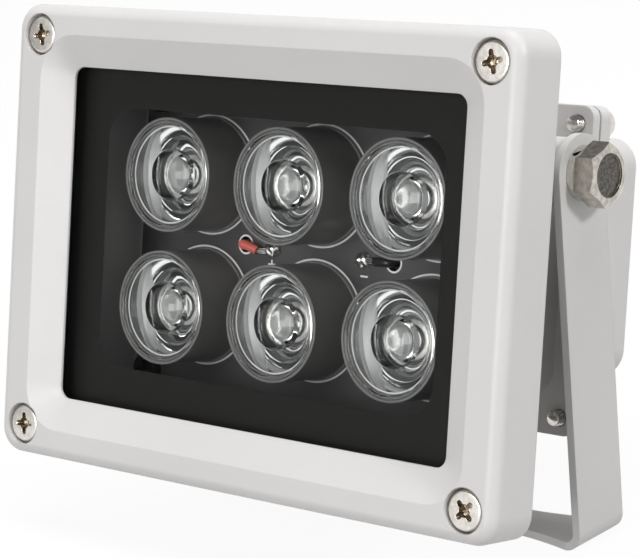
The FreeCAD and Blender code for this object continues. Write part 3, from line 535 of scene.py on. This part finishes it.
def tube(name, points, radius, material, place=None, sides=20, steps=10):
    """A round tube along a smooth curve through points of the head's frame."""
    curve = bpy.data.curves.new(name, "CURVE")
    curve.dimensions = "3D"
    spline = curve.splines.new("NURBS")
    spline.points.add(len(points) - 1)
    for target, point in zip(spline.points, points):
        target.co = (*point, 1)
    spline.order_u = 3
    spline.use_endpoint_u = True
    spline.resolution_u = steps
    curve.bevel_depth = radius
    curve.bevel_resolution = sides // 4
    curve.use_fill_caps = True
    holder = bpy.data.objects.new(name, curve)
    mesh = bpy.data.meshes.new_from_object(holder)
    bpy.data.objects.remove(holder)
    mesh.transform(place or Matrix.Identity(4))
    mesh.materials.clear()
    mesh.materials.append(material)
    mesh.shade_smooth()
    return linked(name, mesh)


def settle(piece, *stands_for, body="lamp_head", slot=None):
    """Puts a finished piece on its body and hides the nodes that it stands for."""
    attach(piece, body)
    if stands_for:
        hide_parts(*stands_for)
    return piece


# Lenses, holders and emitters

def lens_profile():
    """Half section of a collimating lens with its front face at z = 0, as (radius, z)."""
    well, well_floor, bulge = 4.7 * MM, -4.2 * MM, 1.9 * MM
    rim, rim_width, rim_height = 10.0 * MM, 0.8 * MM, 1.5 * MM
    foot, height = 4.4 * MM, 10.2 * MM
    recess, recess_top, sag = 3.2 * MM, -5.4 * MM, 0.8 * MM
    radius = (well ** 2 + bulge ** 2) / (2 * bulge)
    spread = math.asin(well / radius)
    dome = [Vector((radius * math.sin(spread * i / 16),
                    well_floor + bulge - radius * (1 - math.cos(spread * i / 16))))
            for i in range(17)]
    bead, reach = 8.92 * MM, 0.13 * MM
    ledge_start, ledge_end, ledge_drop, rim_start = 9.14 * MM, 9.46 * MM, 0.42 * MM, 9.5 * MM
    ridge = [Vector((bead - reach * math.cos(math.pi * i / 6),
                     -FACE_STEP + reach * math.sin(math.pi * i / 6))) for i in range(7)]
    front = rounded([(well, well_floor), (well, -FACE_STEP), (bead - reach, -FACE_STEP)],
                    0.14 * MM, 4, closed=False) + ridge[1:]
    front += rounded([(bead + reach + 0.02 * MM, -FACE_STEP), (ledge_start, -ledge_drop),
                      (ledge_end, -ledge_drop), (rim_start, 0), (rim, 0), (rim, -rim_height),
                      (rim - rim_width, -rim_height)], 0.1 * MM, 3, closed=False)
    flank = arc((rim - rim_width, -rim_height), (foot, -height), -0.85 * MM, 22)
    roof = (recess ** 2 + sag ** 2) / (2 * sag)
    turn = math.asin(recess / roof)
    cap = [Vector((roof * math.sin(turn * i / 10),
                   recess_top - sag + roof * (1 - math.cos(turn * i / 10))))
           for i in range(10, -1, -1)]
    return dome[:-1] + front + flank[1:] + [Vector((recess, -height))] + cap


def tint(piece, material, low, high, inner, outer):
    """Gives the faces of a turned piece between two heights and two radii another material."""
    piece.data.materials.append(material)
    number = len(piece.data.materials) - 1
    for face in piece.data.polygons:
        radius = math.hypot(face.center.x, face.center.y)
        if low < face.center.z < high and inner < radius < outer:
            face.material_index = number


def holder_profile():
    """Half section of a lens holder that stands on z = 0."""
    height = BOARD_FRONT - LENS_FRONT
    outer, foot, bore, seat = 10.6 * MM, 10.95 * MM, 9.3 * MM, 10.08 * MM
    floor, hole, foot_height, seat_depth = 1.2 * MM, 4.7 * MM, 0.8 * MM, 1.4 * MM
    return rounded([(hole, 0), (foot, 0), (foot, foot_height), (outer, foot_height),
                    (outer, height), (seat, height), (seat, height - seat_depth),
                    (bore, height - seat_depth), (bore, CUP_BAND), (bore, floor),
                    (hole, floor)], 0.16 * MM, 4)


def printed_ring(name, inner, outer, place, sides):
    """A thin ring of ink on the board."""
    ink_height = 0.05 * MM
    profile = rounded([(inner, 0), (inner, ink_height), (outer, ink_height), (outer, 0)],
                      0.02 * MM, 2)
    return lathe(name, profile, INK, place, sides)


def make_optics():
    """Six lenses, their cups and emitters, and the ring printed round each cup."""
    number = 0
    for up in (LENS_PITCH_Y / 2, -LENS_PITCH_Y / 2):
        for x in (-LENS_PITCH_X, 0, LENS_PITCH_X):
            number += 1
            front = standing(x, LENS_FRONT, up)
            foot = standing(x, BOARD_FRONT, up)
            lens = lathe(f"clear_lens_{number}", lens_profile(), LENS, None, 128)
            # The bead's faces take the near-white painted highlight.
            tint(lens, BEAD_HIGHLIGHT, -FACE_STEP - 0.01 * MM, -FACE_STEP + 0.3 * MM, 8.78 * MM, 9.06 * MM)
            lens.data.transform(front)
            settle(lens, f"lens_{number}", slot="clear_plastic")
            cup = lathe(f"holder_cup_{number}", holder_profile(), HOLDER, None, 128)
            tint(cup, CUP_FLOOR, 0.9 * MM, CUP_BAND, 4.6 * MM, 9.4 * MM)
            tint(cup, CUP_WALL, CUP_BAND, BOARD_FRONT - LENS_FRONT - 1.3 * MM, 9.0 * MM, 9.4 * MM)
            cup.data.transform(foot)
            settle(cup, f"lens_holder_{number}", slot="black_plastic")
            settle(make_emitter(number, foot), f"led_{number}", slot="emitter_resin")
            settle(printed_ring(f"printed_ring_{number}", 11.0 * MM, 11.36 * MM, foot, 128))


def make_emitter(number, place):
    """Round metal base, leads, chip and clear dome of one emitter."""
    base_radius, base_step, neck_radius, base_top = 3.8 * MM, 1.6 * MM, 2.9 * MM, 1.9 * MM
    dome_radius, dome_foot, dome_centre = 2.7 * MM, 1.92 * MM, 2.4 * MM
    profile = rounded([(0, 0), (base_radius, 0), (base_radius, base_step),
                       (neck_radius, base_top), (0, base_top)], 0.12 * MM, 3, closed=False)
    base = lathe("base", profile, PACKAGE, place, 48)
    chip = cuboid("chip", (0, 0, 2.0 * MM), (2.2 * MM, 2.2 * MM, 0.2 * MM), CHIP, place)
    leads = [cuboid("lead", (side * 5.3 * MM, 0, 0.45 * MM), (3.8 * MM, 1.6 * MM, 0.4 * MM),
                    EMITTER_METAL, place) for side in (1, -1)]
    angles = [math.pi / 2 * i / 14 for i in range(14)]
    shell = [Vector((dome_radius * math.cos(a), dome_centre + dome_radius * math.sin(a)))
             for a in angles]
    dome = lathe("dome", [(0, dome_foot), (dome_radius, dome_foot), *shell,
                          (0, dome_centre + dome_radius)], DOME, place, 48)
    return joined(f"emitter_{number}", [base, chip, *leads, dome])


def cuboid(name, centre, size, material, place=None, bevel=0.05 * MM):
    """A box with small bevels."""
    shell = bmesh.new()
    bmesh.ops.create_cube(shell, size=1.0)
    bmesh.ops.transform(shell, matrix=Matrix.Translation(centre) @ Matrix.Diagonal((*size, 1)),
                        verts=shell.verts)
    bmesh.ops.bevel(shell, geom=shell.edges[:], offset=min(bevel, min(size) * 0.3), segments=2,
                    affect="EDGES")
    mesh = bpy.data.meshes.new(name)
    shell.to_mesh(mesh)
    shell.free()
    mesh.transform(place or Matrix.Identity(4))
    mesh.materials.append(material)
    mesh.shade_smooth()
    mesh.set_sharp_from_angle(angle=math.radians(50))
    return linked(name, mesh)


# Glass print

def make_print():
    """The black border, a thin plate just ahead of the glass's back face."""
    edge = 0.4 * MM
    outer = rounded_rectangle(GLASS_WIDTH - edge, GLASS_HEIGHT - edge, 2 * MM)
    inner = rounded_rectangle(WINDOW_WIDTH, WINDOW_HEIGHT, WINDOW_CORNER)
    piece = frame_plate("glass_print", outer, inner, 0.02 * MM, PRINT,
                        standing(0, GLASS_BACK - 0.03 * MM, 0))
    settle(piece, slot="black_rubber")


# Screws

def cross_cutter(span, slot, depth, place):
    """A tapered cross with round ends that cuts a screw head's recess."""
    verts, faces = [], []
    for height, scale in ((0.2 * depth, 1.04), (-depth, 0.66)):
        far, near = span / 2 * scale, slot / 2 * (0.6 + 0.4 * scale)
        for quarter in range(4):
            turn = Matrix.Rotation(math.pi / 2 * quarter, 2)
            for step in range(7):
                a = math.pi * (step / 6 - 0.5)
                corner = Vector((far - near + near * math.cos(a), near * math.sin(a)))
                verts.append((*(turn @ corner), height))
            verts.append((*(turn @ Vector((near, near))), height))
    count = len(verts) // 2
    faces.append(tuple(range(count)))
    faces.append(tuple(range(2 * count - 1, count - 1, -1)))
    for i in range(count):
        j = (i + 1) % count
        faces.append((i, j, j + count, i + count))
    return outward(mesh_piece("cutter", verts, faces, RECESS_SHADE_METAL, place))


def carve(piece, cutter):
    """Cuts one closed mesh out of another."""
    tool = piece.modifiers.new("carve", "BOOLEAN")
    tool.operation = "DIFFERENCE"
    tool.solver = "EXACT"
    tool.material_mode = "TRANSFER"
    tool.object = cutter
    bpy.context.view_layer.update()
    done = bpy.data.meshes.new_from_object(piece.evaluated_get(bpy.context.evaluated_depsgraph_get()))
    piece.modifiers.clear()
    piece.data = done
    bpy.data.objects.remove(cutter)
    done.shade_smooth()
    done.set_sharp_from_angle(angle=math.radians(32))
    return piece


def screw_head(radius, top, turn):
    """A pan head on z = 0 with a cross recess."""
    profile = rounded([(0, 0), (radius, 0), (radius, top * 0.78),
                       (radius * 0.90, top), (0, top)], 0.28 * MM, 5, closed=False)
    head = lathe("head", profile, SCREW_METAL, None, 96, sharp=50)
    lift = Matrix.Translation((0, 0, top))
    # The carved recess faces take the cutter's darker metal, painted shade.
    carve(head, cross_cutter(radius * 1.2, radius * 0.28, top * 0.66, lift))
    carve(head, lathe("cone", [(0, -top * 0.85), (radius * 0.12, -top * 0.8),
                               (radius * 0.34, 0.1 * top), (0, 0.1 * top)],
                      RECESS_SHADE_METAL, lift, 24))
    head.data.transform(Matrix.Rotation(turn, 4, "Z"))
    return head


def threaded_shank(radius, pitch, length, sides=40, per_turn=8):
    """A shank down from z = 0 with a helical thread and a flat, bevelled end."""
    rows = int(length / pitch * per_turn)
    depth = pitch * 0.5
    bevel = 0.35 * MM
    shade_below = 0.42
    verts, faces, dark = [], [], []
    for row in range(rows + 1):
        z = -length * row / rows
        for i in range(sides):
            crest = abs((z / pitch + i / sides) % 1.0 * 2 - 1)
            end = max(0.0, 1 - (length + z) / bevel) * depth
            r = min(radius - depth * (1 - crest), radius - end)
            a = 2 * math.pi * i / sides
            verts.append((r * math.cos(a), r * math.sin(a), z))
            # Marks the points deep in a valley, away from the bevelled end, for painted shade.
            dark.append(crest < shade_below and length + z > bevel)
    for row in range(rows):
        for i in range(sides):
            j = (i + 1) % sides
            faces.append((row * sides + i, row * sides + j,
                          (row + 1) * sides + j, (row + 1) * sides + i))
    faces.append(tuple(range(sides)))
    faces.append(tuple(range(rows * sides, (rows + 1) * sides)))
    shank = outward(mesh_piece("shank", verts, faces, THREAD_METAL, None, 70))
    # Faces deep in the thread's valleys take the near-black metal, painted shade.
    shank.data.materials.append(GROOVE_SHADE_METAL)
    for face in shank.data.polygons:
        if len(face.vertices) == 4 and sum(dark[v] for v in face.vertices) > 2:
            face.material_index = 1
    return shank


def make_screws(name, node, places, head_radius, head_height, radius, pitch, length, turns):
    """Cross-head screws at several places of the head, as one piece."""
    parts = []
    for place, turn in zip(places, turns):
        for part in (screw_head(head_radius, head_height, turn),
                     threaded_shank(radius, pitch, length)):
            part.data.transform(place)
            parts.append(part)
    settle(joined(name, parts), node, slot="nickel_steel")


def make_fasteners():
    """The four screws of the front frame and the four of the rear cover."""
    corners = ((-1, 1), (1, 1), (-1, -1), (1, -1))
    places = [standing(x * BEZEL_SCREW_X, BEZEL_RECESS_DEPTH, y * BEZEL_SCREW_Y)
              for x, y in corners]
    make_screws("cross_screws_front", "bezel_screws", places, head_radius=3.6 * MM,
                head_height=2.3 * MM, radius=1.98 * MM, pitch=0.7 * MM, length=9.9 * MM,
                turns=[math.radians(a) for a in (12, 14, 4, 44)])
    about = Matrix.Rotation(math.pi, 4, "Y")
    places = [standing(x * COVER_SCREW_X, COVER_SEAT, y * COVER_SCREW_Y) @ about
              for x, y in corners]
    make_screws("cross_screws_rear", "cover_screws", places, head_radius=2.8 * MM,
                head_height=2.2 * MM, radius=1.49 * MM, pitch=0.5 * MM, length=7.95 * MM,
                turns=[math.radians(a) for a in (20, 63, 38, 5)])


# Wires and board marks

def blob(name, spot, radius, stretch, seed):
    """An uneven lump of solder."""
    shell = bmesh.new()
    bmesh.ops.create_icosphere(shell, subdivisions=4, radius=1.0)
    for vert in shell.verts:
        push = 1 + 0.28 * noise.noise(vert.co * 1.7 + Vector((seed, seed * 2, 0)))
        vert.co = Vector(c * radius * s * push for c, s in zip(vert.co, stretch))
    mesh = bpy.data.meshes.new(name)
    shell.to_mesh(mesh)
    shell.free()
    mesh.transform(standing(*spot))
    mesh.materials.append(SOLDER)
    mesh.shade_smooth()
    return linked(name, mesh)


def make_wires():
    """The two leads: insulation up through the board, tinned strands, solder and marks."""
    rise = BOARD_FRONT - 0.85 * MM
    mark_long, mark_short, mark_up = 1.7 * MM, 0.35 * MM, -3.1 * MM
    cover_radius, strand_radius, strand_count = 0.88 * MM, 0.17 * MM, 7
    for side, colour, node, material in ((-1, "red", "red_wire", RED),
                                         (1, "black", "black_wire", BLACK)):
        hole, pad = side * 17.6 * MM, side * 10.8 * MM
        bare = side * 14.0 * MM
        drop = -0.75 * MM if side < 0 else -0.1 * MM
        run = [(side * 13 * MM, 46.8 * MM, 4 * MM), (side * 14.5 * MM, 42 * MM, 3 * MM),
               (hole, 36 * MM, 0), (hole, 27 * MM, 0), (hole, BOARD_FRONT + 0.6 * MM, 0),
               (hole, rise - 0.5 * MM, 0.1 * MM), (hole - side * 1.4 * MM, rise - 0.4 * MM, 0),
               (bare, rise, drop)]
        cover = tube("cover", run, cover_radius, material, HEAD)
        strands = []
        for i in range(strand_count):
            a = 2 * math.pi * i / (strand_count - 1)
            reach = 0 if i == strand_count - 1 else 0.28 * MM
            sway = reach * math.cos(a), reach * math.sin(a)
            strands.append(tube("strand", [
                (bare + side * 0.8 * MM, rise + sway[0], drop + sway[1]),
                (bare - side * 0.6 * MM, rise + sway[0], drop + sway[1] * 1.3),
                (bare - side * 1.6 * MM, rise + sway[0] * 0.8, drop + sway[1] * 2.0),
                (pad + side * 0.2 * MM, rise + sway[0] * 0.6 + 0.2 * MM, drop * 0.6 + sway[1])],
                strand_radius, SOLDER, HEAD, 8, 6))
        settle(joined(colour + "_lead", [cover, *strands]), node, slot=colour + "_pvc")
        settle(blob(colour + "_solder", (pad - side * 0.1 * MM, BOARD_FRONT - 0.1 * MM, -0.2 * MM),
                    1.5 * MM, (1.15, 1.0, 0.85), side * 3.0))
        settle(printed_ring(colour + "_eyelet", 1.5 * MM, 1.86 * MM,
                            standing(hole, BOARD_FRONT, 0), 48))
        bars = [(mark_long, mark_short)]
        if side < 0:
            bars.append((mark_short, mark_long))
        marks = [cuboid("dash", (pad + side * 0.2 * MM, mark_up, 0.03 * MM),
                        (wide, tall, 0.04 * MM), INK, standing(0, BOARD_FRONT, 0), 0.01 * MM)
                 for wide, tall in bars]
        settle(joined(colour + "_mark", marks))


# Materials of the carried nodes

def dress_nodes():
    """Gives each node that stays as it is a material of this script."""
    looks = {
        "front_bezel": PAINT, "housing": HOUSING_PAINT, "rear_cover": PAINT,
        "bracket": BRACKET_PAINT, "front_glass": GLASS, "glass_gasket": RUBBER,
        "cover_gasket": GASKET, "led_board": BOARD, "board_screws": SHADED_SCREW_STEEL,
        "driver_board": GREEN, "driver_screws": SCREW_METAL, "driver_inductor": CASE,
        "driver_capacitor": CASE, "driver_chip": CASE, "cable_gland_body": NYLON,
        "cable_gland_seal": RUBBER, "cable_gland_nut": NYLON, "cable_gland_locknut": NYLON,
        "pivot_bolt_right": BOLT_METAL, "pivot_bolt_left": BOLT_METAL,
        "spring_washer_right": WASHER_METAL, "spring_washer_left": WASHER_METAL}
    for name, material in looks.items():
        mesh = nodes[name].data
        mesh.materials.clear()
        mesh.materials.append(material)


# Camera, light, floor and backdrop

def make_camera():
    """A camera whose view is fitted to the photograph."""
    data = bpy.data.cameras.new("camera")
    data.lens = CAMERA_LENS
    data.sensor_width = 36.0
    data.sensor_fit = "HORIZONTAL"
    data.clip_start = 0.01
    camera = linked("camera", data)
    camera.location = CAMERA_PLACE
    camera.rotation_euler = CAMERA_TURN
    bpy.context.scene.camera = camera


def lamp(name, spot, size, power, target=(0, 0, 0.06), seen=True):
    """A soft lamp that faces the target; one that isn't seen leaves no mirror image."""
    data = bpy.data.lights.new(name, "AREA")
    data.shape = "RECTANGLE"
    data.size, data.size_y = size
    data.energy = power
    lamp_object = linked(name, data)
    lamp_object.location = spot
    way = Vector(target) - Vector(spot)
    lamp_object.rotation_euler = way.to_track_quat("-Z", "Y").to_euler()
    lamp_object.visible_glossy = seen


def make_light():
    """Soft lamps ahead, above and at the right, in a room that is dim above and at the left."""
    high_start, high_end, high_level = 0.38, 0.68, 0.2
    left_way, left_start, left_end, left_level = (-0.906, -0.423, 0.0), 0.88, 0.97, 0.38
    world = bpy.data.worlds.new("studio")
    bpy.context.scene.world = world
    world.use_nodes = True
    tree = world.node_tree
    tree.nodes.clear()

    def remap(value, low, high, to_low, to_high):
        node = tree.nodes.new("ShaderNodeMapRange")
        tree.links.new(value, node.inputs["Value"])
        for name, number in (("From Min", low), ("From Max", high),
                             ("To Min", to_low), ("To Max", to_high)):
            node.inputs[name].default_value = number
        node.interpolation_type = "SMOOTHSTEP"
        return node.outputs["Result"]

    def maths(operation, first, second):
        node = tree.nodes.new("ShaderNodeMath")
        node.operation = operation
        tree.links.new(first, node.inputs[0])
        tree.links.new(second, node.inputs[1])
        return node.outputs["Value"]

    way = tree.nodes.new("ShaderNodeTexCoord").outputs["Generated"]
    height = tree.nodes.new("ShaderNodeSeparateXYZ")
    tree.links.new(way, height.inputs[0])
    path = tree.nodes.new("ShaderNodeLightPath")
    shown = maths("MAXIMUM", path.outputs["Is Glossy Ray"], path.outputs["Is Transmission Ray"])
    above = remap(height.outputs["Z"], high_start, high_end, 1.0, high_level)
    toward = tree.nodes.new("ShaderNodeVectorMath")
    toward.operation = "DOT_PRODUCT"
    tree.links.new(way, toward.inputs[0])
    toward.inputs[1].default_value = left_way
    left = remap(toward.outputs["Value"], left_start, left_end, 1.0, left_level)
    room = maths("MULTIPLY", above, left)
    level = remap(shown, 0.0, 1.0, ROOM_LEVEL, 1.0)
    strength = maths("MAXIMUM", maths("MULTIPLY", room, level), path.outputs["Is Camera Ray"])
    backdrop = tree.nodes.new("ShaderNodeBackground")
    tree.links.new(strength, backdrop.inputs["Strength"])
    output = tree.nodes.new("ShaderNodeOutputWorld")
    tree.links.new(backdrop.outputs[0], output.inputs["Surface"])
    backdrop.inputs["Color"].default_value = (1, 1, 1, 1)
    lamp("front", (-0.05, -1.1, 0.34), (0.6, 0.6), 5.6)
    lamp("side", (0.95, -0.10, 0.60), (0.16, 0.16), 4.9)
    lamp("top", (0.0, 0.0, 1.2), (1.0, 1.0), 12.5, seen=False)


def make_floor():
    """A wide white floor that keeps a soft shadow."""
    bounce, glow_share = 0.36, 0.93
    s = Shader("floor_white")
    drift = s.noise(3, 2)
    glow = s.add("Emission", {"Color": (1, 1, 1, 1), "Strength": 1.0})
    path = s.add("LightPath").outputs
    shown = s.maths("MAXIMUM", path["Is Camera Ray"],
                    s.maths("MAXIMUM", path["Is Glossy Ray"], path["Is Transmission Ray"]))
    white = s.mix(drift, (0.90, 0.90, 0.90), (0.92, 0.92, 0.92))
    plain = s.add("BsdfDiffuse", {"Color": s.mix(shown, (bounce,) * 3, white)})
    share = s.maths("MULTIPLY", shown, glow_share)
    material = s.finish(s.add("MixShader", {0: share, 1: plain.outputs[0],
                                            2: glow.outputs[0]}).outputs[0])
    half = 6.0
    mesh = bpy.data.meshes.new("floor")
    mesh.from_pydata([(-half, -half, 0), (half, -half, 0), (half, half, 0), (-half, half, 0)],
                     [], [(0, 1, 2, 3)])
    mesh.materials.append(material)
    floor = linked("floor", mesh)


make_camera()
make_light()
make_floor()
dress_nodes()
make_optics()
make_print()
make_fasteners()
make_wires()

bpy.context.scene.view_settings.view_transform = "Standard"
